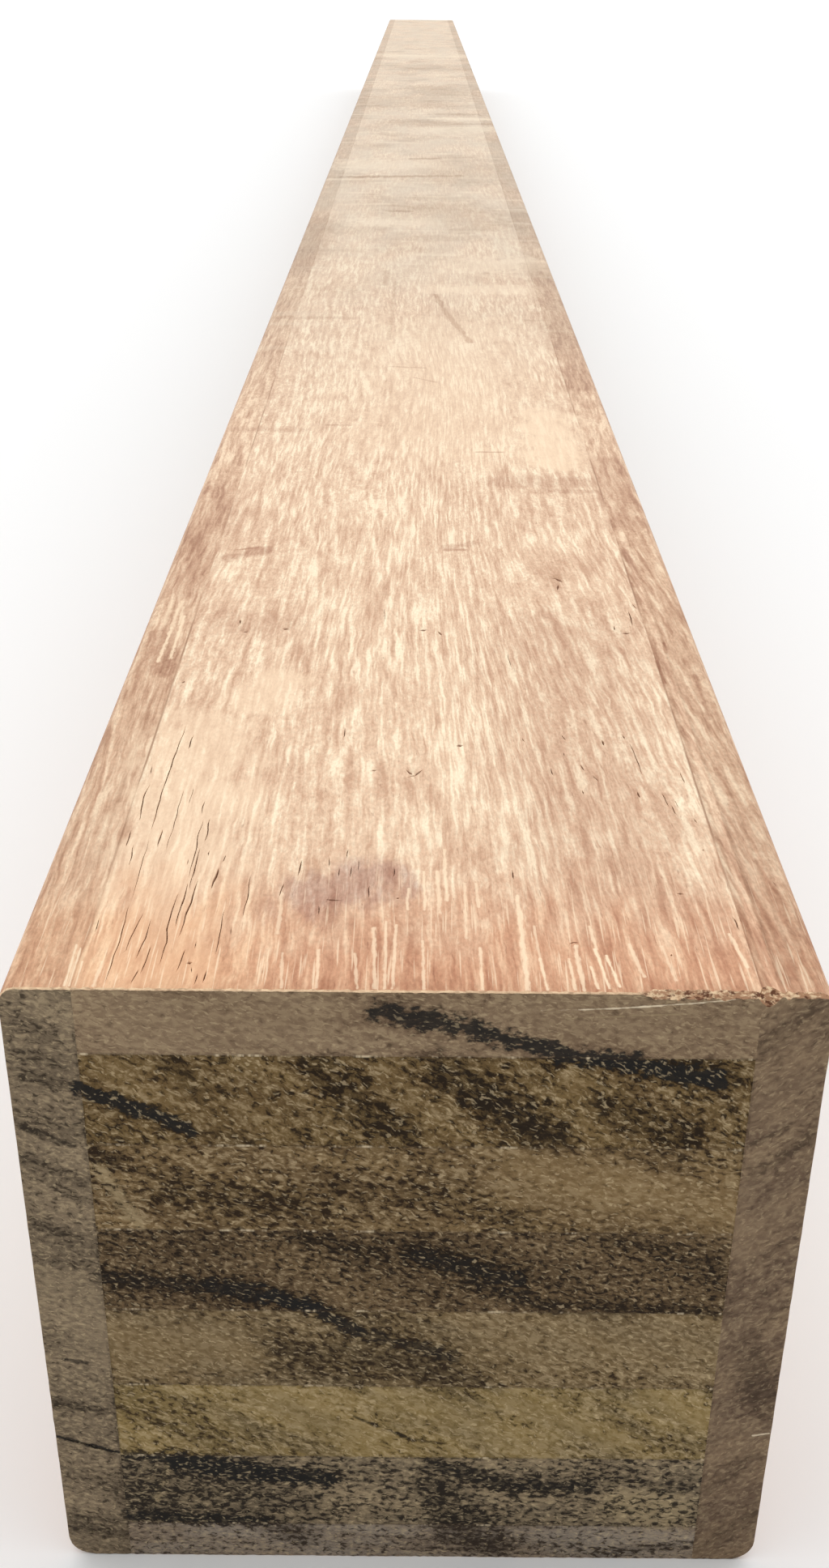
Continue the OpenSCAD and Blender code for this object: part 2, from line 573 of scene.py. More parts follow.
# Pale grazes on the near end, in the same form
END_GRAZES = [
    (-54, 98, -48, 86, 2.4, 0.55),
    (-46.5, 26, -49.5, 16, 1.6, 0.7),
    (41, 15.5, 50, 14, 9.0, 0.65),
    (24, 130, 44, 131.2, 0.3, 0.45),
]
# Pale fibres that stand out of the near end, in the same form
END_SPLINTERS = [
    (20, 131.6, 26, 131.8, 0.22, 0.35),
    (26, 131.8, 33, 132.2, 0.28, 0.7),
    (33, 132.2, 40, 132.8, 0.3, 0.8),
    (40, 132.8, 46, 133.4, 0.3, 0.8),
    (46, 133.4, 51, 134.1, 0.28, 0.7),
    (64, 34.9, 67, 35.5, 0.35, 0.6),
]
# Clear wood between darker bands on the near end, in the same form
END_BANDS = [
    (-28, 45, -10, 33, 7.0, 0.8),
    (-4, 45, 24, 31, 8.0, 0.6),
    (18, 44, 38, 33, 5.0, 0.9),
    (43, 44.5, 55, 39, 5.0, 0.9),
    (-52, 118, -30, 108, 12.0, 0.35),
    (-5, 118, 5, 106, 5.0, 0.35),
    (26, 117, 30, 106, 5.0, 0.45),
    (20, 97, 52, 90, 14.0, 0.8),
    (-54, 58, -34, 56, 14.0, 0.9),
    (14, 60, 52, 58, 13.0, 0.6),
    (-46, 128, -20, 128, 9.0, 0.5),
    (20, 131, 52, 128, 7.0, 0.5),
    (-66, 72, -58, 68, 7.0, 0.6),
    (58, 112, 64, 122, 8.0, 0.5),
    (58, 80, 64, 92, 8.0, 0.5),
]
STAIN = tone(34, 33, 32)
FIBRE_END = tone(224, 200, 158)
GRAZED_WOOD = tone(172, 152, 116)
SPLINTER = tone(255, 236, 204)
GLUE_DARK = tone(62, 48, 36)
# A painted glint on a glue line
GLUE_GLINT = tone(226, 206, 172)
# How strongly each of these shows on a sawn end
RIDGES_SHOW, PORES_SHOW, SPECKS_SHOW = 0.35, 0.92, 0.42
STAIN_SHOWS, CLEAR_SHOWS = 0.88, 0.6
GLUE_SHOWS, GLINT_SHOWS = 0.5, 0.75
CLEAR_SMOOTHS = 0.55  # how much of the torn relief clear wood lacks
SOLID_FROM = 0.58  # the strength from which a stain hides the wood
RAGGED = 0.9  # widths of a mark, by which its edge wanders at most
SAWN_RELIEF = 0.25 * MM
RELIEF_SHOWS = 0.6
SAWN_ROUGHNESS = 0.85
SAWN_SHEEN = 0.15


def marks_on(tree, marks, box, lay, rough):
    """The strongest mark at each place, of those that reach the box. lay gives a mark's place in space."""
    total = 0.0
    for a0, b0, a1, b1, width, strength in marks:
        beside = max(a0, a1) + width < box[0] or min(a0, a1) - width > box[2]
        beyond = max(b0, b1) + width < box[1] or min(b0, b1) - width > box[3]
        if beside or beyond:
            continue
        line = {"From": lay(a0, b0), "To": lay(a1, b1), "Width": width, "Rough": rough}
        mark = place_group(tree, streak, line)["Mark"]
        total = calc(tree, "MAXIMUM", total, calc(tree, "MULTIPLY", mark, strength))
    return total


def ragged(tree, place, size):
    """How a mark's edge wanders in and out, in widths of the mark."""
    wander = noise_at(tree, place, size, detail=4.0, roughness=0.6)
    return calc(tree, "MULTIPLY_ADD", wander, 2 * RAGGED, -RAGGED)


def grey(tree, value):
    """A grey as bright as the value."""
    return put(tree, "CombineColor", {0: value, 1: value, 2: value})


def sawn_material(node, wood, other_wood, pore, darkness, slope, torn, seed):
    """Bare end grain, as the saw left it. slope is by how many degrees its bands rise to the right, and
    torn how much of its relief shows, from 0 to 1."""
    low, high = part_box(node)
    box = [v / MM for v in (low[0], low[2], high[0], high[2])]
    material = bpy.data.materials.new("sawn_" + node)
    material.use_nodes = True
    tree = material.node_tree
    shader = tree.nodes["Principled BSDF"]
    place = millimetres(tree)

    def marked(marks, edge_size):
        """The marks of a list that lie on this end, with edges as rough as the size says."""
        edge = ragged(tree, place, edge_size)
        return marks_on(tree, marks, box, lambda x, z: (x, front_y / MM, z), edge)

    stain, clear, graze = (marked(marks, (2.2, 6.0, 1.4)) for marks in (END_STAINS, END_BANDS, END_GRAZES))
    growth = {"Slope": math.radians(slope), "Seed": seed, "Darkness": darkness}
    grain = place_group(tree, end_grain, {**growth, "Stain": stain, "Clear": clear})
    colour = blend(tree, grain["Clouds"], wood, other_wood)
    colour = blend(tree, calc(tree, "MULTIPLY", clear, CLEAR_SHOWS), colour, wood)
    colour = blend(tree, 1.0, colour, grey(tree, grain["Shade"]), "MULTIPLY")
    uneven = calc(tree, "MULTIPLY_ADD", clear, -CLEAR_SMOOTHS * torn, torn)
    ridges = calc(tree, "MULTIPLY", grain["Ridges"], calc(tree, "MULTIPLY", uneven, RIDGES_SHOW))
    colour = blend(tree, ridges, colour, FIBRE_END)
    colour = blend(tree, graze, colour, GRAZED_WOOD)
    pores = calc(tree, "MULTIPLY", grain["Pores"], calc(tree, "MULTIPLY", uneven, PORES_SHOW))
    colour = blend(tree, pores, colour, pore)
    solid = calc(tree, "MULTIPLY", fade(tree, stain, SOLID_FROM, 1.0), STAIN_SHOWS)
    colour = blend(tree, solid, colour, STAIN)
    colour = blend(tree, calc(tree, "MULTIPLY", grain["Specks"], SPECKS_SHOW * torn), colour, FIBRE_END)
    colour = blend(tree, marked(END_SPLINTERS, (3.5, 6.0, 3.5)), colour, SPLINTER)
    glue = place_group(tree, glue_line, {"Low": low[2] / MM, "High": high[2] / MM})
    colour = blend(tree, calc(tree, "MULTIPLY", glue["Line"], GLUE_SHOWS), colour, GLUE_DARK)
    # painted glints along the glue lines
    colour = blend(tree, calc(tree, "MULTIPLY", glue["Glint"], GLINT_SHOWS), colour, GLUE_GLINT)
    tree.links.new(colour, shader.inputs["Base Color"])
    relief = {"Strength": RELIEF_SHOWS * torn, "Distance": SAWN_RELIEF, "Height": grain["Height"]}
    tree.links.new(put(tree, "Bump", relief), shader.inputs["Normal"])
    shader.inputs["Roughness"].default_value = SAWN_ROUGHNESS
    shader.inputs["Specular IOR Level"].default_value = SAWN_SHEEN
    return material


# Planed wood: its ground, its creamy lines and its mottled patches
GRAIN_TONES = ("Ground", "Cream", "Mottled")
GLUED_TONES = (tone(206, 170, 140), tone(236, 208, 176), tone(186, 146, 116))
OUTER_TONES = (tone(215, 178, 147), tone(241, 213, 181), tone(184, 142, 113))  # underside and sides
VESSEL = tone(150, 108, 82)  # the hollow of a vessel that the plane has opened
GRAIN_APART = 5000.0  # mm in the noise, from one planed face to the next
LEAN_REACH = 220.0  # mm along, up to which the grain at the right leans out
LEAN_FROM, LEAN_FULL = -5, 30  # mm across
LEAN = 0.075  # mm across for each mm along
DRIFT, SWAY = 16.0, 1.5  # mm across, by which the grain winds slowly and quickly
MOTTLED_BY = 0.35  # how much the slow patches count beside the fine lines
DULL_FLECK, BRIGHT_FLECK = 0.86, 1.12  # what the flecks multiply the colour by
VESSELS_SHOW = 0.4
FLECKS_RAISE = 0.6
PLANED_RELIEF = 0.05 * MM
PLANED_RELIEF_SHOWS = 0.5
PLANED_ROUGHNESS = 0.65
ROUGHNESS_SPREAD = 0.08
PLANED_SHEEN = 0.2


def along_post(tree, place):
    """How far a place is from the near end, in millimetres."""
    return calc(tree, "SUBTRACT", put(tree, "SeparateXYZ", {0: place}, output="Y"), front_y / MM)


def long_grain_group():
    """Wood planed along its grain: streaks, vessel lines that break up into dapples, pores and flecks."""
    tones = [(label, "Color", colour) for label, colour in zip(GRAIN_TONES, GLUED_TONES)]
    tree, given, result = start_group(
        "long grain",
        [*tones, ("Seed", "Float", 0.0)],
        [("Colour", "Color"), ("Flecks", "Float"), ("Height", "Float")],
    )
    away = put(tree, "CombineXYZ", {"Y": calc(tree, "MULTIPLY", given["Seed"], GRAIN_APART)})
    here = millimetres(tree)
    place = moved_by(tree, here, away)
    across = put(tree, "SeparateXYZ", {0: here}, output="X")
    lean = calc(tree, "MINIMUM", along_post(tree, here), LEAN_REACH)
    lean = calc(tree, "MULTIPLY", lean, fade(tree, across, LEAN_FROM, LEAN_FULL, 0.0, LEAN))
    drift = calc(tree, "SUBTRACT", noise_at(tree, place, (60, 260, 60), detail=1.0), 0.5)
    sway = calc(tree, "SUBTRACT", noise_at(tree, place, (4, 9, 4), detail=2.0), 0.5)
    lean = calc(tree, "MULTIPLY_ADD", drift, DRIFT, lean)
    lean = calc(tree, "MULTIPLY_ADD", sway, SWAY, lean)
    leaning = moved_by(tree, place, put(tree, "CombineXYZ", {"X": lean}))
    streaks = noise_at(tree, leaning, (1.9, 30, 1.9), detail=3.0, roughness=0.6)
    lines = noise_at(tree, leaning, (0.95, 13, 0.95), detail=2.0, roughness=0.6)
    dapples = noise_at(tree, leaning, (1.2, 3.0, 1.2), detail=3.0, roughness=0.6)
    broken = fade(tree, noise_at(tree, leaning, (13, 40, 13), detail=3.0), 0.42, 0.6, 0.1, 0.6)
    fine = calc(tree, "MULTIPLY_ADD", calc(tree, "SUBTRACT", dapples, lines), broken, lines)
    mottle = noise_at(tree, leaning, (9, 22, 9), detail=4.0, roughness=0.65)
    broad = noise_at(tree, leaning, (26, 110, 26), detail=3.0)
    slow = calc(tree, "SUBTRACT", calc(tree, "ADD", mottle, broad), 1.0)
    level = calc(tree, "MULTIPLY_ADD", slow, -MOTTLED_BY, calc(tree, "ADD", streaks, fine))
    level = calc(tree, "MULTIPLY", level, 0.5)
    pores = fade(tree, noise_at(tree, leaning, (0.4, 3.5, 0.4), detail=2.0), 0.33, 0.24)
    flecks = noise_at(tree, leaning, (0.5, 1.4, 0.5), detail=4.0, roughness=0.7)
    colour = blend(tree, fade(tree, level, 0.36, 0.51), given["Mottled"], given["Ground"])
    colour = blend(tree, fade(tree, level, 0.48, 0.62), colour, given["Cream"])
    sparkle = grey(tree, fade(tree, flecks, 0.28, 0.72, DULL_FLECK, BRIGHT_FLECK))
    colour = blend(tree, 1.0, colour, sparkle, "MULTIPLY")
    colour = blend(tree, calc(tree, "MULTIPLY", pores, VESSELS_SHOW), colour, VESSEL)
    raised = calc(tree, "MULTIPLY_ADD", flecks, FLECKS_RAISE, level)
    height = calc(tree, "SUBTRACT", raised, pores)
    lead_out(tree, result, Colour=colour, Flecks=flecks, Height=height)
    return tree


# Towards the far end the planed faces turn paler and greyer: partly settled dust, partly a painted sheen
DUST_AND_SHEEN_FROM, DUST_AND_SHEEN_FULL = 200, 900  # mm from the near end
DUST_AND_SHEEN_LEAST, DUST_AND_SHEEN_MOST = 0.56, 0.82  # how much of the wood the dust and painted sheen hide
SCUFFS_TO, SCUFFS_FULL = 3, 0.5  # mm below the upper face
SCUFFS_SHOW = 0.5


def dust_and_sheen_group():
    """Dust and a painted sheen on the planed faces towards the far end: where they lie, how much of the wood
    they hide, the dust's darker patches, and scuffs across the upper face, which is at the height Top."""
    tree, given, result = start_group(
        "dust_and_sheen",
        [("Top", "Float", 135.0)],
        [(label, "Float") for label in ("Far", "DustAndSheen", "Blotches", "Scuffs")],
    )
    place = millimetres(tree)
    far = fade(tree, along_post(tree, place), DUST_AND_SHEEN_FROM, DUST_AND_SHEEN_FULL)
    patchy = noise_at(tree, place, (26, 90, 26), detail=4.0, roughness=0.6)
    patchy = fade(tree, patchy, 0.35, 0.65, DUST_AND_SHEEN_LEAST, DUST_AND_SHEEN_MOST)
    blotches = fade(tree, noise_at(tree, place, (46, 70, 46), detail=5.0, roughness=0.62), 0.46, 0.7)
    scuffs = fade(tree, noise_at(tree, place, (60, 16, 60), detail=3.0), 0.55, 0.72, 0.0, SCUFFS_SHOW)
    below = calc(tree, "SUBTRACT", given["Top"], put(tree, "SeparateXYZ", {0: place}, output="Z"))
    scuffs = calc(tree, "MULTIPLY", scuffs, fade(tree, below, SCUFFS_TO, SCUFFS_FULL))
    masks = {"DustAndSheen": patchy, "Blotches": blotches, "Scuffs": scuffs}
    masks = {label: calc(tree, "MULTIPLY", mask, far) for label, mask in masks.items()}
    lead_out(tree, result, Far=far, **masks)
    return tree


long_grain = long_grain_group()
dust_and_painted_sheen = dust_and_sheen_group()


def start_planed(name, tones, seed):
    """Starts the material of a planed face. Returns it, its tree and its grain."""
    material = bpy.data.materials.new(name)
    material.use_nodes = True
    tree = material.node_tree
    return material, tree, place_group(tree, long_grain, {**dict(zip(GRAIN_TONES, tones)), "Seed": seed})


def end_planed(tree, grain, colour):
    """Leads a planed face's colour and relief to its shader."""
    shader = tree.nodes["Principled BSDF"]
    tree.links.new(colour, shader.inputs["Base Color"])
    relief = {"Strength": PLANED_RELIEF_SHOWS, "Distance": PLANED_RELIEF, "Height": grain["Height"]}
    tree.links.new(put(tree, "Bump", relief), shader.inputs["Normal"])
    roughest, smoothest = PLANED_ROUGHNESS + ROUGHNESS_SPREAD, PLANED_ROUGHNESS - ROUGHNESS_SPREAD
    rough = fade(tree, grain["Flecks"], 0.3, 0.7, roughest, smoothest)
    tree.links.new(rough, shader.inputs["Roughness"])
    shader.inputs["Specular IOR Level"].default_value = PLANED_SHEEN


glued_face, tree, grain = start_planed("planed_core", GLUED_TONES, seed=3)
end_planed(tree, grain, grain["Colour"])

FACE_DUST_AND_SHEEN = tone(184, 167, 146)  # dust and painted sheen on the post's underside and sides, towards the far end
BLOTCHED = (0.84, 0.8, 0.77, 1)  # what the dust's darker patches multiply the colour by
underside, tree, grain = start_planed("planed_underside", OUTER_TONES, seed=4)
dust_and_sheen = place_group(tree, dust_and_painted_sheen, {"Top": cad_box[1][2] / MM})
# Paler and greyer towards the far end: dust, and a painted sheen
colour = blend(tree, dust_and_sheen["DustAndSheen"], grain["Colour"], FACE_DUST_AND_SHEEN)
colour = blend(tree, dust_and_sheen["Blotches"], colour, BLOTCHED, "MULTIPLY")
end_planed(tree, grain, colour)

# From the bottom up: two tones of the wood, its pores, how dark it is, and its bands' slope in degrees
CORE_LAMELLAE = {
    "bottom_lamella": (tone(152, 139, 124), tone(136, 119, 101), tone(54, 43, 34), 0.36, -4),
    "core_lamella_1": (tone(152, 133, 105), tone(132, 116, 93), tone(34, 28, 24), 0.46, -6),
    "core_lamella_2": (tone(144, 122, 77), tone(117, 100, 68), tone(56, 42, 26), 0.2, -32),
    "core_lamella_3": (tone(124, 103, 71), tone(104, 87, 62), tone(46, 33, 21), 0.27, -25),
    "core_lamella_4": (tone(117, 95, 67), tone(101, 81, 57), tone(31, 22, 15), 0.5, -20),
    "core_lamella_5": (tone(132, 108, 73), tone(110, 88, 59), tone(40, 27, 16), 0.36, -18),
    "core_lamella_6": (tone(122, 99, 63), tone(105, 83, 52), tone(35, 24, 14), 0.38, -32),
}
# Regions of the bake's map: left, low, right and high
LAMELLA_REGIONS = {
    "near_end": (0.005, 0.005, 0.995, 0.2),
    "far_end": (0.005, 0.21, 0.995, 0.4),
    "planed": (0.005, 0.41, 0.6, 0.995),
    "glued": (0.61, 0.41, 0.995, 0.995),
}

for seed, (node, wood_values) in enumerate(CORE_LAMELLAE.items()):
    low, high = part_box(node)
    section = flat_section(low, high, "planed" if node == "bottom_lamella" else "glued", "glued")
    lip = inset(section, lambda x, z, side: frayed(x, z, side, seed))
    board = Board(section)
    near = board.ring(lip, near_y)
    first = board.ring(section, lambda x, z: front_y + LIP_REACH)
    last = board.ring(section, lambda x, z: back_y - LIP_REACH)
    far = board.ring(lip, far_y)
    for one, other in ((near, first), (first, last), (last, far)):
        board.wall(one, other, lambda side: side)
    board.sawn_end(near, lip, NEAR_END_STEP, near_y, [], "near_end")
    board.sawn_end(far, lip, FAR_END_STEP, far_y, [], "far_end")
    sawn = sawn_material(node, *wood_values, torn=1.0, seed=seed)
    finishes = {"near_end": sawn, "far_end": sawn, "planed": underside, "glued": glued_face}
    lamella = board.finish(node + "_timber", finishes, LAMELLA_REGIONS)
    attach(lamella, "root")
    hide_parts(node)


# Top lamella: a hardwood board glued on the core and planed with the post's upper face, pale with creamy
# vessel lines. It has dried faster than the rest, so checks have opened along its grain near the end, and
# the saw has torn its fibres off at the right of the near edge.
NEAR_ZONE = 220 * MM  # of the upper face, with the checks
ZONE_STEP = (2.5 * MM, 5.0 * MM)  # between its points, across and along
TORN_FROM, TORN_TO = 36 * MM, 67 * MM  # the stretch of the near upper edge where the saw tore pieces out
TORN_DOWN, TORN_BACK = 2.2 * MM, 2.0 * MM  # at the left of that stretch
TORN_LESS = 0.65  # by how much of that the tears shrink towards its right
TORN_RISE = 12  # how steeply they set in at both its ends
COARSE_JAG, FINE_JAG = 2.2 * MM, 0.8 * MM
NOTCH_AT, NOTCH_HALF = 56.5 * MM, 1.8 * MM  # the deepest tear
MIDDLE_DOWN, MIDDLE_BACK = 0.6, 0.5  # how much of a frayed edge's depth and reach its middle ring has
CHECK_DEPTH = 0.45 * MM
CHECK_OPEN = 0.85  # how much of a check's width is open, between its worn lips
CHECK_STEP = 1.2 * MM  # between the points along a check
CHECK_SWAY = 0.4 * MM  # how far it strays from its path
CHECK_SPREAD = 0.6  # how much wider or narrower it is in places
# Checks and chips in the upper face, in mm: width, then the places across and along that each runs through
TOP_CHECKS = [
    (0.34, (-50.3, 52), (-50.5, 70), (-50.1, 85), (-49.6, 99)),
    (0.26, (-50.1, 26), (-50.2, 12), (-50.3, 1.5)),
    (0.16, (-50.2, 49), (-50.0, 28)),
    (0.28, (-54.0, 46), (-54.0, 52.5)),
    (0.24, (-52.4, 39), (-52.7, 47)),
    (0.32, (-48.1, 46), (-48.2, 53)),
    (0.2, (-46.4, 45), (-46.3, 69)),
    (0.32, (-53.1, 56), (-53.7, 65), (-53.3, 71.5)),
    (0.22, (-53.8, 75.5), (-54.0, 79.5)),
    (0.38, (-47.8, 87), (-47.4, 94)),
    (0.2, (-44.5, 63), (-44.5, 70)),
    (0.24, (-41.5, 59), (-41.5, 64.5)),
    (0.24, (-41.0, 57), (-41.0, 45), (-40.95, 35)),
    (0.34, (-41.0, 33.5), (-41.1, 28), (-41.4, 23), (-41.2, 18.7)),
    (0.34, (-39.8, 48), (-39.7, 57.5)),
    (0.26, (-40.3, 31), (-40.45, 38), (-40.2, 46)),
    (0.34, (-40.3, 15.4), (-39.9, 20), (-39.4, 27), (-39.2, 35)),
    (0.3, (-42.3, 7), (-42.1, 14), (-42.6, 18), (-42.1, 30)),
    (0.2, (-41.9, 39.5), (-41.9, 42)),
    (0.5, (-36.5, 31.2), (-36.0, 39)),
    (0.22, (-35.6, 40.5), (-35.2, 43.6)),
    (0.3, (-38.4, 43), (-38.4, 45)),
    (0.22, (-30.0, 22), (-30.0, 36)),
    (0.28, (-24.3, 28.8), (-23.7, 33.5)),
    (0.2, (-33.4, 10), (-33.4, 24.5)),
    (0.22, (-31.5, 16.3), (-31.7, 19)),
    (0.22, (-49.0, 10.5), (-48.3, 11.5), (-48.0, 16), (-47.3, 23.5)),
    (0.28, (-46.4, 8.7), (-45.7, 15), (-45.7, 21.4)),
    (0.3, (-45.0, 4.2), (-44.7, 8), (-44.4, 13)),
    (0.26, (-46.1, 1.6), (-45.4, 6)),
    (0.24, (-39.3, 5), (-38.6, 12)),
    (1.0, (-38.0, 7.7), (-36.9, 8.1)),
    (0.22, (-36.7, 5), (-37.0, 6.8)),
    (0.24, (-35.9, 1.4), (-35.7, 5)),
    (0.3, (-34.6, 2), (-34.3, 6)),
    (0.2, (-37.1, 12), (-37.1, 14.5)),
    (0.22, (-54.6, 16.8), (-54.6, 21.8)),
    (0.26, (-16.1, 39.3), (-16.2, 43)),
    (0.24, (-14.2, 35.8), (-14.2, 39.2)),
    (0.24, (-13.0, 42.5), (-12.8, 46)),
    (0.24, (-12.1, 35.6), (-12.0, 40)),
    (0.22, (-10.7, 38), (-10.8, 42.2)),
    (0.24, (-8.6, 28.8), (-8.5, 33)),
    (0.24, (-4.4, 35.8), (-4.3, 39.6)),
    (0.22, (-17.0, 23), (-17.2, 26)),
    (0.3, (-21.5, 36), (-21.1, 42)),
    (0.5, (-16.2, 28.1), (-13.2, 27.8)),
    (0.6, (-3.7, 28.4), (-3.2, 28.9)),
    (0.3, (17.2, 35.4), (17.1, 39)),
    (0.26, (45.4, 76.8), (44.9, 85), (44.4, 92)),
    (0.34, (33.8, 78.4), (33.0, 82)),
    (0.3, (36.3, 73.8), (35.2, 77)),
    (0.32, (27.3, 76.5), (27.0, 80)),
    (0.42, (43.7, 67), (43.4, 70)),
    (0.34, (48.8, 63.6), (48.1, 69.5)),
    (0.32, (50.0, 60), (49.4, 64.4)),
    (0.3, (50.7, 63), (50.2, 66.7)),
    (0.28, (53.4, 73.5), (53.1, 78.6)),
    (0.36, (53.4, 57), (53.0, 59)),
    (0.4, (32.7, 68.5), (32.5, 70.3)),
    (0.24, (22.4, 91.7), (22.0, 94)),
    (0.28, (30.2, 85), (30.1, 87.6)),
    (1.0, (45.8, 31.1), (47.1, 30.9)),
    (0.5, (53.2, 46.4), (52.9, 47)),
    (0.5, (25.4, 14.4), (26.2, 15), (27.2, 14.9)),
    (0.5, (42.1, 11), (42.3, 11.7)),
    (0.32, (54.9, 19), (54.3, 23.7)),
    (0.4, (52.7, 158), (52.8, 163), (52.6, 168)),
    (0.34, (55.0, 169), (54.4, 173)),
    (1.4, (49.0, 152.8), (51.9, 153.3)),
    (0.4, (47.8, 154.6), (48.1, 158)),
    (1.5, (7.6, 89.8), (9.7, 90.3)),
    (0.9, (-2.6, 79), (-0.8, 76), (1.0, 78.8)),
    (1.8, (-0.3, 153.6), (2.4, 154.4)),
    (0.8, (4.7, 153.4), (5.6, 150.4)),
    (1.6, (-33.6, 154.4), (-31.2, 153.6)),
    (0.6, (-44.1, 160), (-43.8, 157)),
    (1.4, (-42.9, 151.4), (-41.2, 152.3)),
    (1.7, (35.0, 191.2), (36.4, 190.6), (37.9, 187.8)),
    (0.8, (36.5, 186.6), (36.0, 182)),
    (0.2, (21.0, 140), (21.5, 131)),
    (0.36, (30.4, 96), (31.2, 92.5)),
    (0.5, (43.3, 96), (43.6, 93.4)),
    (0.5, (38.6, 93.4), (38.9, 90.4)),
    (1.2, (-9.7, 77.8), (-8.2, 78.4)),
    (0.26, (-15.6, 98), (-15.8, 93)),
    (0.14, (-8.6, 169), (-8.6, 159)),
    (0.9, (-53.5, 120.6), (-52.9, 122.6)),
]


def drying_check(path, width, depth):
    """A crack along a path on a face: its two lips, and its bed with the depth at each point."""
    path = [Vector(p) for p in path]
    lengths = [(b - a).length for a, b in zip(path, path[1:])]
    whole = sum(lengths)
    lips, bed = ([], []), []
    done = 0.0
    for a, b, length in zip(path, path[1:], lengths):
        side = Vector((a.y - b.y, b.x - a.x)).normalized()
        count = max(2, round(length / CHECK_STEP))
        for k in range(count + (b is path[-1])):
            place = a.lerp(b, k / count)
            share = (done + length * k / count) / whole
            gape = max(0, math.sin(math.pi * share)) ** 0.5
            sway = CHECK_SWAY * noise.noise(Vector((place.x / 9, place.y / 5, 0)) / MM)
            open_by = 1 + CHECK_SPREAD * noise.noise(Vector((place.x, place.y / 2, MM)) / MM)
            middle = place + side * (sway * gape)
            bed.append((middle, depth * gape))
            for sign, lip in zip((-1, 1), lips):
                lip.append(middle + side * (sign * width / 2 * gape * open_by))
        done += length
    return lips, bed


def tear(x, layer):
    """How torn the near upper edge is at a place across it, from 0 to 1."""
    share = (x - TORN_FROM) / (TORN_TO - TORN_FROM)
    if not 0 < share < 1:
        return 0.0
    coarse = noise.noise(Vector((x / COARSE_JAG, 3, layer)))
    fine = noise.noise(Vector((x / FINE_JAG, 5, layer)))
    notch = max(0, 1 - abs(x - NOTCH_AT) / NOTCH_HALF)
    jag = max(0, 0.45 + 0.6 * coarse + 0.4 * fine) * (1 - TORN_LESS * share) + notch
    return min(1, jag) * min(1, TORN_RISE * share, TORN_RISE * (1 - share))


def near_edge(board, section, top, seed):
    """Adds the rings of a board's frayed near end. Returns the sawn section and the rings' first points."""
    still = top - 2 * TORN_DOWN  # the height up to which nothing is torn

    def depth(x, z, side, layer):
        """How far a side is frayed and torn off at a place."""
        torn = TORN_DOWN * tear(x, layer) if side != "glued" and z > top - TORN_DOWN else 0.0
        return frayed(x, z, side, seed) + torn

    def reach(x, z):
        """How far along the board that goes."""
        torn = TORN_BACK * tear(x, 0) if z > still else 0.0
        return LIP_REACH * edge_fuzz(x + z, seed + 1) + torn

    def settled(moved):
        """Keeps the points of a glued side below its torn corner."""
        corner_z = {x: new[1] for (x, z, _), new in zip(section, moved) if z == top}
        kept = []
        for (x, z, side), new in zip(section, moved):
            if still < z < top and x in corner_z:
                new = (x, still + (z - still) * (corner_z[x] - still) / (top - still), side)
            kept.append(new)
        return kept

    lip = settled(inset(section, lambda x, z, side: depth(x, z, side, 0)))
    ragged_lip = settled(inset(section, lambda x, z, side: MIDDLE_DOWN * depth(x, z, side, 1)))
    near = board.ring(lip, near_y)
    middle = board.ring(ragged_lip, lambda x, z: front_y + MIDDLE_BACK * reach(x, z))
    first = board.ring(section, lambda x, z: front_y + reach(x, z))
    return lip, near, middle, first


def planed_board(section, top, planed, zone, near_planed, splits, seed):
    """A board with a planed side. Up to zone along it, that side has a part name of its own, or None to
    leave it open. Returns the board and the first points of the rings at both ends of the zone."""
    board = Board(section)
    near_lip, near, middle, first = near_edge(board, section, top, seed)
    far_lip = inset(section, lambda x, z, side: frayed(x, z, side, seed))
    zone_end = board.ring(section, lambda x, z: front_y + zone)
    last = board.ring(section, lambda x, z: back_y - LIP_REACH)
    far = board.ring(far_lip, far_y)
    for one, other in ((near, middle), (middle, first), (last, far)):
        board.wall(one, other, lambda side: "lip" if side == planed else side)
    board.wall(first, zone_end, lambda side: near_planed if side == planed else side)
    board.wall(zone_end, last, lambda side: side)
    board.sawn_end(near, near_lip, NEAR_END_STEP, near_y, splits, "near_end")
    board.sawn_end(far, far_lip, FAR_END_STEP, far_y, [], "far_end")
    return board, first, zone_end


seed = len(CORE_LAMELLAE)
low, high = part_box("top_lamella")
section = flat_section(low, high, "glued", "top")
board, first, zone_end = planed_board(section, high[2], "top", NEAR_ZONE, None, [], seed)
upper = [k for k, point in enumerate(section) if point[1] == high[2]]
border = [(board.points[first + k][:2], first + k) for k in upper]
border += [(board.points[zone_end + k][:2], zone_end + k) for k in reversed(upper)]
inner = [
    (x, y)
    for x in steps_between(low[0] + ZONE_STEP[0], high[0], ZONE_STEP[0])
    for y in steps_between(front_y + ZONE_STEP[1], front_y + NEAR_ZONE, ZONE_STEP[1])
]
checks = [
    drying_check([(x * MM, front_y + y * MM) for x, y in path], CHECK_OPEN * width * MM, CHECK_DEPTH)
    for width, *path in TOP_CHECKS
]
board.net(border, inner, checks, lambda p, d: (p.x, p.y, high[2] - d), "near_top")

# Two tones of its wood, its pores, how dark it is, its bands' slope in degrees, how much of the relief shows
TOP_WOOD = (tone(136, 114, 90), tone(122, 100, 78), tone(64, 49, 36), 0.06, -14, 0.65)
sawn = sawn_material("top_lamella", *TOP_WOOD, seed)

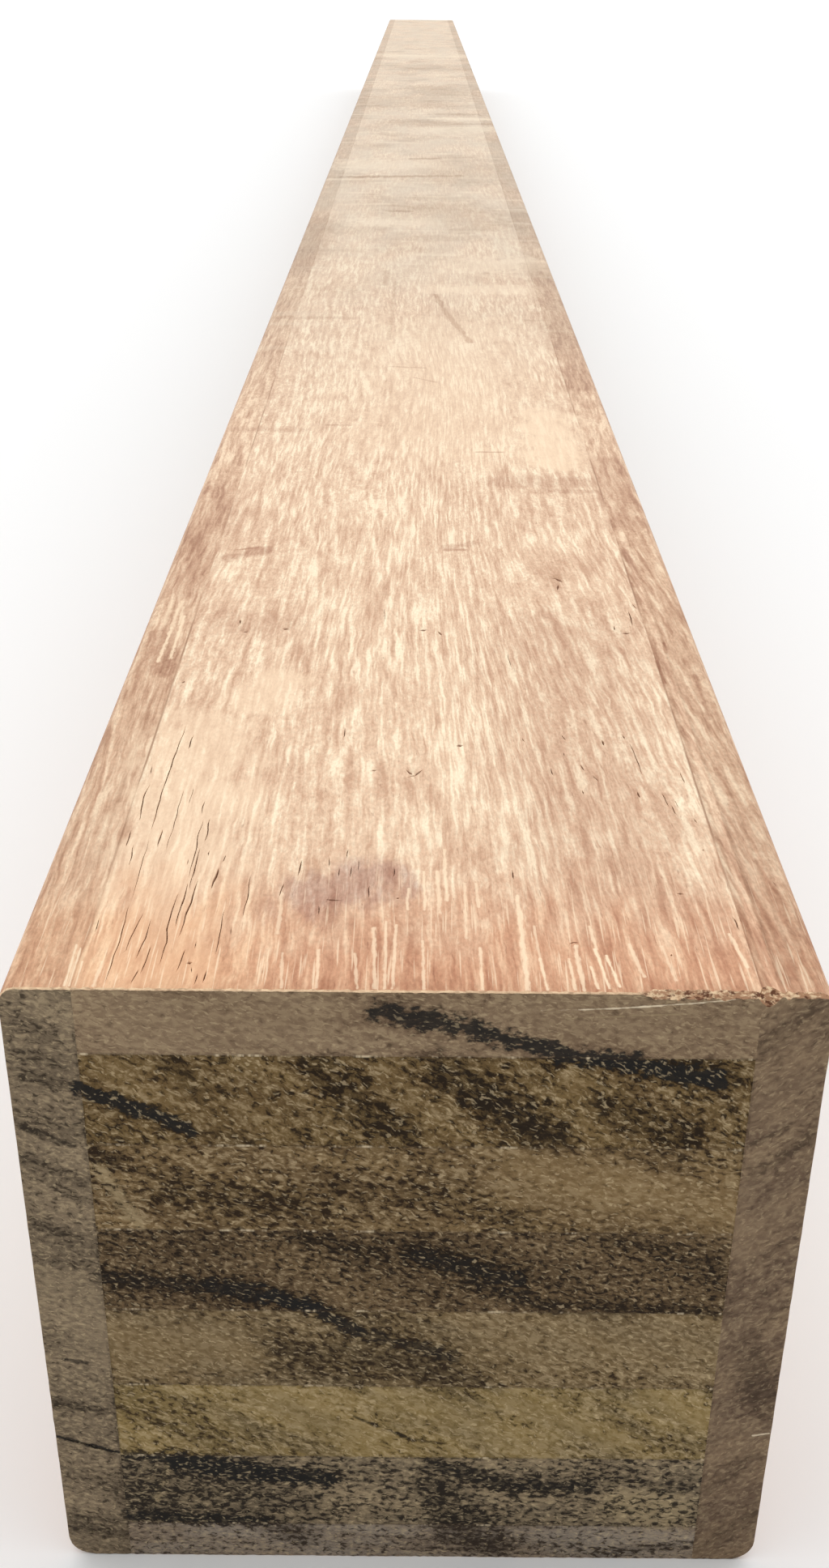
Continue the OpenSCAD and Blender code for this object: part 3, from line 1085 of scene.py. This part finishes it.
# Dark smudges on the upper face, in mm: across and along from, across and along to, width; then strength
TOP_SMUDGES = [
    (34, 45, 36, 150, 34, 0.4),
    (25, 60, 40, 75, 14, 0.5),
    (-52, 205, -42, 212, 5, 0.9),
    (-50, 211.5, -44, 213.5, 1.5, 1.0),
    (8, 215, 15, 219, 4, 0.6),
    (7.6, 213, 12, 213, 1.7, 1.0),
    (-46, 158, -35, 154, 13, 0.35),
    (-61, 128, -62, 150, 4.5, 0.75),
    (-57.6, 126, -58.2, 140, 3, 0.65),
    (-59.5, 188, -60.5, 214, 6, 0.6),
    (55.8, 136, 55.9, 123, 0.7, 1.0),
    (58.9, 147, 58.6, 141, 0.7, 0.9),
    (57.2, 220, 56.8, 186, 2.2, 0.6),
    (63.6, 128, 63, 104, 1.0, 0.6),
    (27, 277, 65, 277, 13, 0.5),
    (-32, 342, -24, 342, 1.2, 0.8),
    (19, 310, 27, 310, 1.2, 0.8),
    (7, 578, 12, 535, 2.6, 0.75),
    (12, 535, 21, 475, 2.6, 0.75),
    (-12, 610, -13, 480, 2.2, 0.45),
    (-17, 640, -17, 600, 3, 0.4),
    (-12, 430, 2, 428, 1.2, 0.6),
    (-2, 412, 6, 405, 1.0, 0.6),
    (48, 520, 66, 520, 4, 0.5),
    (36, 268, 54, 268, 5, 0.5),
    (-50, 1008, 26, 1018, 11, 1.0),
    (-5, 1119, 10, 1121, 9, 0.9),
    (-17, 845, -6, 845, 7, 0.8),
    (10, 860, 34, 800, 46, 0.45),
    (6, 905, 20, 900, 26, 0.4),
    (26, 770, 42, 800, 22, 0.5),
    (4, 742, 24, 744, 22, 0.4),
    (22, 1000, 42, 1070, 60, 0.4),
    (-8, 1400, 10, 1396, 55, 0.6),
    (20, 1485, 47, 1485, 20, 0.7),
    (25, 1390, 62, 1392, 14, 0.6),
    (-42, 1600, -8, 1650, 110, 0.45),
    (14, 1800, 26, 1720, 70, 0.6),
    (2, 2150, 16, 2120, 100, 0.5),
    (-62, 640, -57, 770, 16, 0.5),
    (-62, 335, -40, 335, 5, 0.45),
    (-62, 522, -30, 522, 6, 0.4),
    (-61, 178, -61, 262, 12, 0.5),
    (61, 238, 61, 300, 12, 0.6),
    (61, 400, 61, 660, 14, 0.45),
    (60, 8, 62, 26, 7, 0.35),
    (61, 35, 61, 60, 9, 0.35),
]
# Bruises, in the same form
TOP_BRUISES = [
    (-19, 29, -8, 35, 13, 0.85),
    (-18, 29, -12, 28, 4, 0.9),
]
# Pale patches of clear wood, in the same form
TOP_CLEAR = [
    (-43, 4, -46, 95, 22, 0.5),
    (-36, 110, -31, 122, 13, 0.5),
    (44, 300, 44, 355, 20, 0.7),
    (10, 330, 10, 490, 70, 0.35),
    (12, 590, 44, 590, 22, 0.5),
    (34, 660, 52, 660, 44, 0.5),
    (-26, 800, -4, 800, 34, 0.5),
    (-46, 1080, -16, 1080, 64, 0.45),
    (18, 1440, 64, 1440, 22, 0.7),
    (18, 1335, 52, 1345, 50, 0.5),
    (-20, 2380, 40, 2380, 90, 0.5),
]
# Bright vessel lines, in the same form
TOP_LINES = [
    (20.9, 1, 20.3, 10, 0.5, 0.9),
    (20.3, 10, 19.9, 20, 0.4, 0.6),
    (17.8, 1, 17.6, 30, 0.8, 0.8),
    (10.5, 1, 10.5, 13, 0.5, 0.75),
    (1.1, 1, 0.9, 15, 0.5, 0.7),
    (1.3, 25, 1.1, 38, 0.5, 0.8),
    (-1.8, 25, -1.6, 32, 0.5, 0.7),
    (3.8, 24, 3.6, 38, 0.7, 0.7),
    (5.2, 28, 4.9, 46, 0.6, 0.7),
    (8.2, 16, 8.4, 34, 0.5, 0.6),
    (10.6, 26, 10.4, 34, 0.6, 0.7),
    (-4.0, 1, -3.6, 20, 0.5, 0.7),
    (-5.2, 1, -5.4, 21, 0.5, 0.7),
    (-6.8, 1, -7.4, 19, 0.6, 0.7),
    (-9.6, 1, -10.4, 11, 0.5, 0.6),
    (-16.2, 1, -16.4, 12, 0.5, 0.6),
    (-21.8, 1, -22.4, 11, 0.5, 0.6),
    (-23.6, 17, -24.0, 30, 0.7, 0.6),
    (25.4, 1, 25.1, 10, 0.5, 0.8),
    (26.8, 1, 26.4, 14, 0.7, 0.8),
    (29.1, 1.5, 28.5, 7.6, 0.5, 0.9),
    (30.9, 1.5, 29.7, 13, 0.5, 1.0),
    (32.6, 2, 31.4, 11, 0.5, 1.0),
    (29.9, 13, 29.4, 20, 0.6, 0.7),
    (36.8, 5, 35.6, 14.5, 0.6, 0.7),
    (42.0, 4, 40.9, 14, 0.5, 0.6),
    (54.2, 8, 53.0, 18, 0.6, 0.8),
    (-56.6, 1, -56.9, 13, 0.35, 0.9),
    (-55.9, 1, -56.0, 12, 0.3, 0.9),
    (-54.9, 1, -55.0, 8, 0.3, 0.8),
    (-52.0, 1, -51.8, 8, 0.6, 0.7),
    (-60.2, 172, -60.3, 151, 0.9, 0.6),
    (-60.2, 154, -60.6, 133, 0.8, 0.9),
    (-58.2, 162, -57.9, 135, 0.7, 0.9),
    (-62.6, 172, -62.4, 156, 1.1, 0.5),
    (-59.2, 168, -58.9, 156, 0.6, 0.7),
]
# What each of these multiplies the wood's colour by
SMUDGED = (0.7, 0.58, 0.54, 1)
FAR_SMUDGED = (0.72, 0.65, 0.59, 1)  # on the part with dust and painted sheen
BRUISED = (0.7, 0.64, 0.7, 1)
WARM_END = (0.79, 0.59, 0.51, 1)  # the first centimetres, where the wood is redder
ORANGE_END = (0.9, 0.72, 0.61, 1)  # the left of them
TOP_TONES = (tone(225, 192, 161), tone(249, 229, 198), tone(200, 160, 130))
CLEAR_WOOD = tone(244, 216, 183)
FAR_CLEAR_WOOD = tone(228, 211, 186)  # on the part with dust and painted sheen
BRIGHT_WOOD = tone(255, 230, 196)
BRIGHT_SHOWS = 0.85
TOP_DUST_AND_SHEEN = tone(204, 188, 167)  # dust and painted sheen, towards the far end
JOINT = tone(150, 106, 78)
JOINT_SHOWS, SHUT_JOINT_SHOWS = 0.7, 0.25
EDGE_DIRT_SHOWS = 0.6
LINES_SHOW = 0.6
FACE_BOARD_WARMTH = 0.7  # beside the top lamella's 1
# Painted shade down the walls of the drying checks
CHECK_SHADE = tone(124, 82, 56)
CHECK_SHADE_SHOWS = 0.9
CHECK_SHADE_FROM, CHECK_SHADE_DARKEST = 0.02, 0.25  # mm down a check, over which the painted shade in it deepens
RUN_ON = 10  # mm, by which the marks of one stretch of a face reach into the next
# Places along the post, in mm
WARM_FULL, WARM_TO, WARM_WANDER = -20, 26, 50.0  # both further out by up to the wander
LINES_FULL, LINES_TO = 12, 60
JOINT_OPEN, JOINT_SHUT = 200, 700
# Places across it, in mm
ORANGE_TO, WARM_FROM = -40, -15
LAMELLA_TO, FACE_BOARD_FROM = 53, 57  # to either side of the middle
EDGE_DIRT_FROM, EDGE_DIRT_FULL = 64.5, 67.3  # to either side of the middle
JOINT_DARKEST, JOINT_TO = 0.08, 0.35  # to either side of a joint

joint_x = high[0] / MM
post_length = (back_y - front_y) / MM


def warm_end_group():
    """The first centimetres of the planed faces: how red the wood is, less so on the face boards, whether
    a place is right of the paler corner, and thin bright vessel lines."""
    tree, _, result = start_group(
        "warm end", [], [("Warmth", "Float"), ("Right", "Float"), ("Lines", "Float")]
    )
    place = millimetres(tree)
    along = along_post(tree, place)
    across = put(tree, "SeparateXYZ", {0: place}, output="X")
    wander = noise_at(tree, place, (8, 16, 8), detail=4.0, roughness=0.6)
    strayed = calc(tree, "MULTIPLY_ADD", wander, -WARM_WANDER, along)
    warmth = fade(tree, strayed, WARM_TO, WARM_FULL)
    beside = calc(tree, "ABSOLUTE", across)
    on_face_boards = fade(tree, beside, LAMELLA_TO, FACE_BOARD_FROM, 1.0, FACE_BOARD_WARMTH)
    lines = fade(tree, noise_at(tree, place, (0.5, 15, 0.5), detail=1.0), 0.6, 0.7)
    lines = calc(tree, "MULTIPLY", lines, fade(tree, along, LINES_TO, LINES_FULL, 0.0, LINES_SHOW))
    lead_out(tree, result, Right=fade(tree, across, ORANGE_TO, WARM_FROM), Lines=lines)
    lead_out(tree, result, Warmth=calc(tree, "MULTIPLY", warmth, on_face_boards))
    return tree


def edge_dirt_group():
    """Dirt on the post's outer edges, and in the glue joints beside the top lamella where they have
    opened. Joint At is how far these are from the post's middle."""
    tree, given, result = start_group(
        "edge dirt", [("Joint At", "Float", 55.5)], [("Outer", "Float"), ("Joint", "Float")]
    )
    place = millimetres(tree)
    beside = calc(tree, "ABSOLUTE", put(tree, "SeparateXYZ", {0: place}, output="X"))
    wander = noise_at(tree, place, (8, 16, 8), detail=4.0, roughness=0.6)
    outer = fade(tree, beside, EDGE_DIRT_FROM, EDGE_DIRT_FULL, 0.0, EDGE_DIRT_SHOWS)
    off = calc(tree, "ABSOLUTE", calc(tree, "SUBTRACT", beside, given["Joint At"]))
    opened = fade(tree, noise_at(tree, place, (3, 40, 3), detail=3.0), 0.38, 0.6)
    along = along_post(tree, place)
    shutting = fade(tree, along, JOINT_SHUT, JOINT_OPEN, SHUT_JOINT_SHOWS, JOINT_SHOWS)
    opened = calc(tree, "MULTIPLY", opened, shutting)
    lead_out(tree, result, Outer=calc(tree, "MULTIPLY", outer, wander))
    lead_out(tree, result, Joint=calc(tree, "MULTIPLY", fade(tree, off, JOINT_TO, JOINT_DARKEST), opened))
    return tree


warm_end = warm_end_group()
edge_dirt = edge_dirt_group()


def aged(tree, colour, dust_and_sheen_tone, box, top):
    """Adds to the planed wood inside a box, in mm across and along, what time has done and a painted sheen:
    a redder near end with bright vessel lines, a far one paler with dust and the sheen, marks, open joints
    and dirt on the outer edges."""
    place = millimetres(tree)

    def marked(marks, edge):
        """The marks of a list that lie on this face."""
        return marks_on(tree, marks, box, lambda x, y: (x, front_y / MM + y, top / MM), edge)

    dust_and_sheen = place_group(tree, dust_and_painted_sheen, {"Top": top / MM})
    # Paler and greyer towards the far end: dust, and a painted sheen
    colour = blend(tree, dust_and_sheen["DustAndSheen"], colour, dust_and_sheen_tone)
    colour = blend(tree, dust_and_sheen["Blotches"], colour, BLOTCHED, "MULTIPLY")
    colour = blend(tree, dust_and_sheen["Scuffs"], colour, FAR_CLEAR_WOOD)
    rough = ragged(tree, place, (5, 12, 5))
    clear = blend(tree, dust_and_sheen["Far"], CLEAR_WOOD, FAR_CLEAR_WOOD)
    smudge = blend(tree, dust_and_sheen["Far"], SMUDGED, FAR_SMUDGED)
    colour = blend(tree, marked(TOP_CLEAR, rough), colour, clear)
    colour = blend(tree, marked(TOP_SMUDGES, rough), colour, smudge, "MULTIPLY")
    colour = blend(tree, marked(TOP_BRUISES, rough), colour, BRUISED, "MULTIPLY")
    if box[1] == 0:
        end = place_group(tree, warm_end, {})
        warm = blend(tree, end["Right"], ORANGE_END, WARM_END)
        colour = blend(tree, end["Warmth"], colour, warm, "MULTIPLY")
        lines = marked(TOP_LINES, ragged(tree, place, (0.7, 2.6, 0.7)))
        bright = calc(tree, "MAXIMUM", lines, end["Lines"])
        colour = blend(tree, calc(tree, "MULTIPLY", bright, BRIGHT_SHOWS), colour, BRIGHT_WOOD)
    dirt = place_group(tree, edge_dirt, {"Joint At": joint_x})
    colour = blend(tree, dirt["Outer"], colour, SMUDGED, "MULTIPLY")
    return blend(tree, dirt["Joint"], colour, JOINT)


def planed_top(name, start, end):
    """The planed upper face between two places along it, in mm."""
    material, tree, grain = start_planed(name, TOP_TONES, seed=0)
    box = (low[0] / MM, start, high[0] / MM, end)
    colour = aged(tree, grain["Colour"], TOP_DUST_AND_SHEEN, box, high[2])
    upright = put(tree, "SeparateXYZ", {0: millimetres(tree)}, output="Z")
    sunk = calc(tree, "SUBTRACT", high[2] / MM, upright)
    # painted shade in the checks, darker further down
    colour = blend(tree, fade(tree, sunk, CHECK_SHADE_FROM, CHECK_SHADE_DARKEST, 0.0, CHECK_SHADE_SHOWS), colour, CHECK_SHADE)
    end_planed(tree, grain, colour)
    return material


# The torn edge: pale wood with painted shade, brown among the torn fibres and darkest in their hollows
TORN_PALE = tone(240, 208, 168)
TORN_BROWN_SHADE = tone(176, 132, 98)
TORN_HOLLOW_SHADE = tone(104, 62, 36)
LOW_EDGE_SHADE = tone(140, 118, 94)  # painted shade on the frayed edges further down the end, as brown as the end
LOW_EDGE_TO, TORN_EDGE_FROM = 127, 133  # mm up
TORN_BLEND = 1  # mm to either side of where the torn stretch starts
FRAYED_SHOWS = 0.35  # how much of the torn look there is left of that
TORN_ROUGHNESS = 0.8

torn_edge = bpy.data.materials.new("torn_edge")
torn_edge.use_nodes = True
tree = torn_edge.node_tree
place = millimetres(tree)
fibres = noise_at(tree, place, (1.3, 0.9, 0.5), detail=3.0, roughness=0.6)
shaded_hollows = noise_at(tree, place, (1.7, 1.2, 0.9), detail=3.0, roughness=0.6)
across = put(tree, "SeparateXYZ", {0: place}, output="X")
torn_x = TORN_FROM / MM
rougher = fade(tree, across, torn_x - TORN_BLEND, torn_x + TORN_BLEND, FRAYED_SHOWS, 1.0)
torn_shade = calc(tree, "MULTIPLY", fade(tree, fibres, 0.62, 0.44), rougher)
colour = blend(tree, torn_shade, TORN_PALE, TORN_BROWN_SHADE)
hollow_shade = calc(tree, "MULTIPLY", fade(tree, shaded_hollows, 0.5, 0.38), rougher)
colour = blend(tree, hollow_shade, colour, TORN_HOLLOW_SHADE)
upright = put(tree, "SeparateXYZ", {0: place}, output="Z")
# painted shade: the frayed edges further down are as brown as the end
colour = blend(tree, fade(tree, upright, LOW_EDGE_TO, TORN_EDGE_FROM), LOW_EDGE_SHADE, colour)
torn_shader = tree.nodes["Principled BSDF"]
tree.links.new(colour, torn_shader.inputs["Base Color"])
torn_shader.inputs["Roughness"].default_value = TORN_ROUGHNESS

TOP_REGIONS = {
    "near_end": (0.005, 0.005, 0.995, 0.13),
    "far_end": (0.005, 0.14, 0.995, 0.26),
    "near_top": (0.005, 0.27, 0.5, 0.995),
    "top": (0.51, 0.27, 0.8, 0.995),
    "lip": (0.81, 0.27, 0.9, 0.995),
    "glued": (0.91, 0.27, 0.995, 0.995),
}
finishes = {
    "near_end": sawn,
    "far_end": sawn,
    "near_top": planed_top("planed_top_near", 0, NEAR_ZONE / MM + RUN_ON),
    "top": planed_top("planed_top_far", NEAR_ZONE / MM - RUN_ON, post_length),
    "lip": torn_edge,
    "glued": glued_face,
}
lamella = board.finish("top_lamella_timber", finishes, TOP_REGIONS)
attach(lamella, "root")
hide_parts("top_lamella")


# Face boards: two upright hardwood boards glued over the edges of the lamellae, full height, so that the
# post's sides show no glue lines. Their outer long edges are eased to a small radius by a moulding cutter.
TOP_RADIUS = 3 * MM
BOTTOM_RADIUS = 5 * MM
ARC_STEPS = 8  # faces round an eased edge
SIDE_STEP = 2.5 * MM  # between the points up a side
FACE_NEAR_ZONE = 300 * MM  # of the planed faces, with the marks nearest to the camera
END_SPLIT = [(-66.6, 32.9), (-62, 31.2), (-59, 29.8), (-55.9, 29)]  # mm, in the left board's near end
SPLIT_WIDTH, SPLIT_DEPTH = 0.45 * MM, 1.2 * MM


def face_section(low, high, sign):
    """A face board's section with its two eased outer edges, anticlockwise as the near end shows it."""
    inner_x, outer_x = (low[0], high[0]) if sign > 0 else (high[0], low[0])

    def arc(radius, centre_z, start):
        """A quarter of a circle at the outer edge, from an angle in degrees."""
        angles = [math.radians(start + 90 * k / ARC_STEPS) for k in range(ARC_STEPS)]
        reach = sign * radius
        centre_x = outer_x - reach
        return [(centre_x + reach * math.cos(a), centre_z + radius * math.sin(a), "planed") for a in angles]

    low_turn, high_turn = low[2] + BOTTOM_RADIUS, high[2] - TOP_RADIUS
    under = steps_between(inner_x, outer_x - sign * BOTTOM_RADIUS, EDGE_STEP)
    over = steps_between(outer_x - sign * TOP_RADIUS, inner_x, EDGE_STEP)
    section = [(x, low[2], "planed") for x in under]
    section += arc(BOTTOM_RADIUS, low_turn, -90)
    section += [(outer_x, z, "planed") for z in steps_between(low_turn, high_turn, SIDE_STEP)]
    section += arc(TOP_RADIUS, high_turn, 0)
    section += [(x, high[2], "planed") for x in over]
    section += [(inner_x, z, "glued") for z in steps_between(high[2], low[2], EDGE_STEP)]
    if sign < 0:
        turned = section[::-1]
        sides = [p[2] for p in turned[1:]] + [turned[0][2]]
        section = [(x, z, side) for (x, z, _), side in zip(turned, sides)]
    return section


FACE_REGIONS = {
    "near_end": (0.005, 0.005, 0.12, 0.995),
    "far_end": (0.13, 0.005, 0.24, 0.995),
    "near_planed": (0.25, 0.005, 0.65, 0.995),
    "planed": (0.66, 0.005, 0.93, 0.995),
    "lip": (0.94, 0.005, 0.965, 0.995),
    "glued": (0.975, 0.005, 0.995, 0.995),
}
# The side that each is on, two tones of its wood, its pores, how dark it is, its bands' slope in degrees,
# and how much of its end's relief shows
FACE_BOARDS = {
    "left_face_board": (-1, tone(131, 114, 92), tone(113, 98, 79), tone(44, 35, 26), 0.22, -18, 0.85),
    "right_face_board": (1, tone(131, 109, 86), tone(107, 87, 70), tone(52, 39, 30), 0.2, 36, 0.5),
}
# The part's name, and where it starts and ends along the board, in mm
FACE_STRETCHES = [
    ("near_planed", 0, FACE_NEAR_ZONE / MM + RUN_ON),
    ("planed", FACE_NEAR_ZONE / MM - RUN_ON, post_length),
]

for seed, (node, (sign, *wood_values)) in enumerate(FACE_BOARDS.items(), len(CORE_LAMELLAE) + 1):
    low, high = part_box(node)
    section = face_section(low, high, sign)
    splits = []
    if sign < 0:
        path = [(x * MM, z * MM) for x, z in END_SPLIT]
        splits.append(drying_check(path, SPLIT_WIDTH, SPLIT_DEPTH))
    board, _, _ = planed_board(section, high[2], "planed", FACE_NEAR_ZONE, "near_planed", splits, seed)
    sawn = sawn_material(node, *wood_values, seed)
    finishes = {"near_end": sawn, "far_end": sawn, "lip": torn_edge, "glued": glued_face}
    for part, start, end in FACE_STRETCHES:
        finishes[part], tree, grain = start_planed(part + "_" + node, OUTER_TONES, seed)
        box = (low[0] / MM, start, high[0] / MM, end)
        colour = aged(tree, grain["Colour"], FACE_DUST_AND_SHEEN, box, high[2])
        end_planed(tree, grain, colour)
    face_board = board.finish(node + "_timber", finishes, FACE_REGIONS)
    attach(face_board, "root")
    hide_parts(node)
